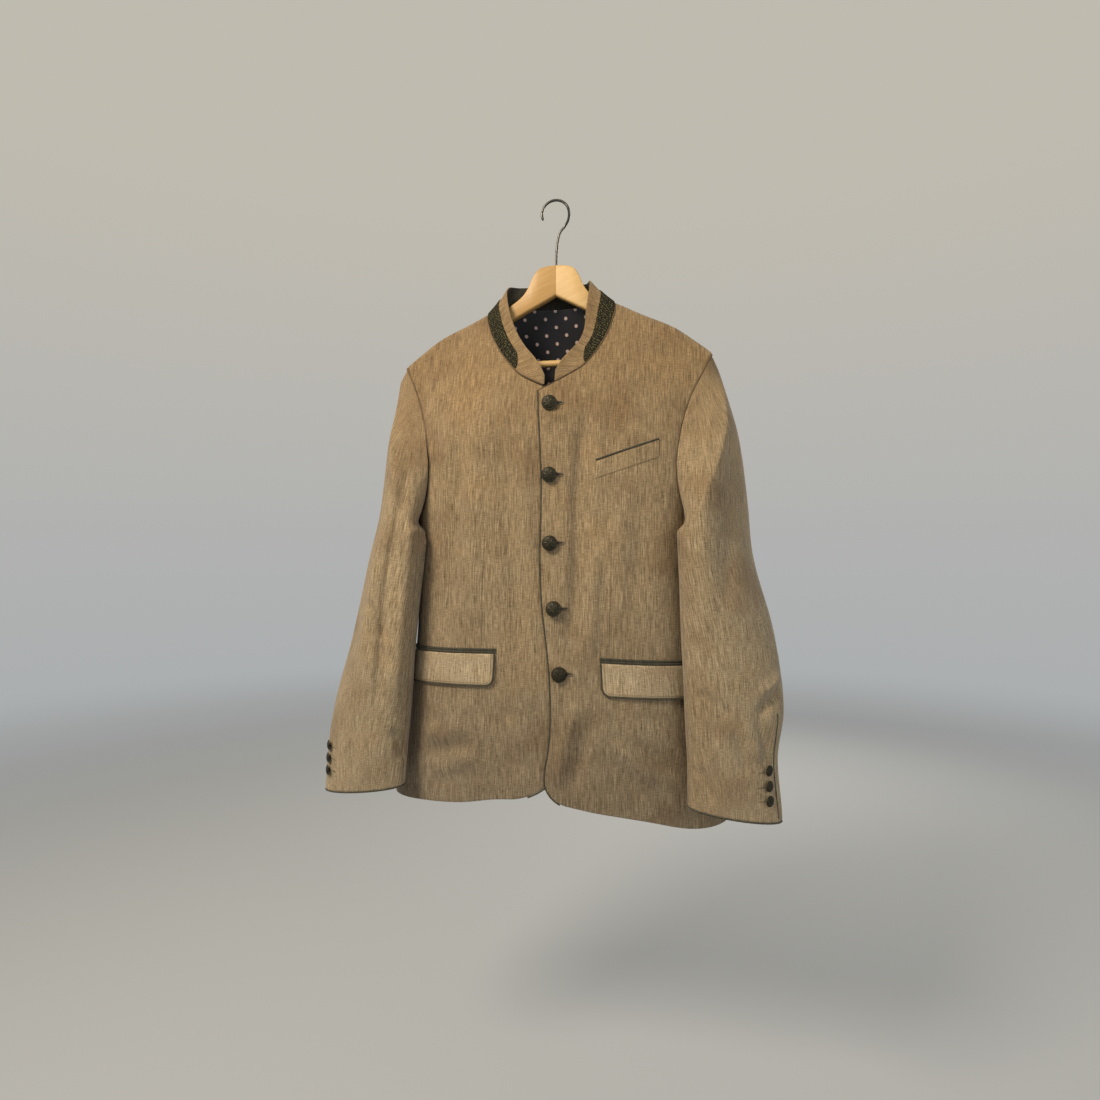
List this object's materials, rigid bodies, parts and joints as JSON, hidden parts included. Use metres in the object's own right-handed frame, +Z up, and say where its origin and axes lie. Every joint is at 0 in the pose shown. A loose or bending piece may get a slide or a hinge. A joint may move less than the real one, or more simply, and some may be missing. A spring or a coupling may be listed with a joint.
{
  "type": "jacket on a clothes hanger",
  "caption": "Buttoned linen jacket with a low stand collar, piped flap pockets and a piped front edge, hanging on a contoured wooden hanger with a trouser bar and a wire hook.",
  "frame": {"origin": "inner top of the hanger's hook, where a rail carries it", "axes": "+Z up, -Y out of the jacket's front, +X to the wearer's left"},
  "size_m": [0.6268, 0.1803, 0.8838],
  "materials": {
    "linen": "golden tan slubbed linen, plain weave, matt",
    "olive": "dark olive corded trim, matt",
    "inlay": "dark olive textured collar inlay",
    "lining": "dark lining with small pale dots, a slight sheen",
    "button": "dark antique bronze, domed",
    "pine": "pale wood under a thin satin varnish",
    "steel": "plain bent wire"
  },
  "bodies": {
    "root": {"front_left": "linen", "side_left": "linen", "back_left": "linen", "sleeve_top_left": "linen", "sleeve_under_left": "linen", "cuff_piping_left": "olive", "edge_piping_left": "olive", "flap_left": "linen", "jet_left": "olive", "flap_piping_left": "olive", "hanger_arm_left": "pine", "cuff_button_left_1": "button", "cuff_button_left_2": "button", "cuff_button_left_3": "button", "front_right": "linen", "side_right": "linen", "back_right": "linen", "sleeve_top_right": "linen", "sleeve_under_right": "linen", "cuff_piping_right": "olive", "edge_piping_right": "olive", "flap_right": "linen", "jet_right": "olive", "flap_piping_right": "olive", "hanger_arm_right": "pine", "cuff_button_right_1": "button", "cuff_button_right_2": "button", "cuff_button_right_3": "button", "collar_band": "linen", "collar_facing": "olive", "collar_inlay": "inlay", "back_lining": "lining", "breast_welt": "linen", "breast_piping": "olive", "button_1": "button", "button_2": "button", "button_3": "button", "button_4": "button", "button_5": "button", "hanger_bar": "pine", "hanger_hook": "steel"}
  },
  "joints": []
}
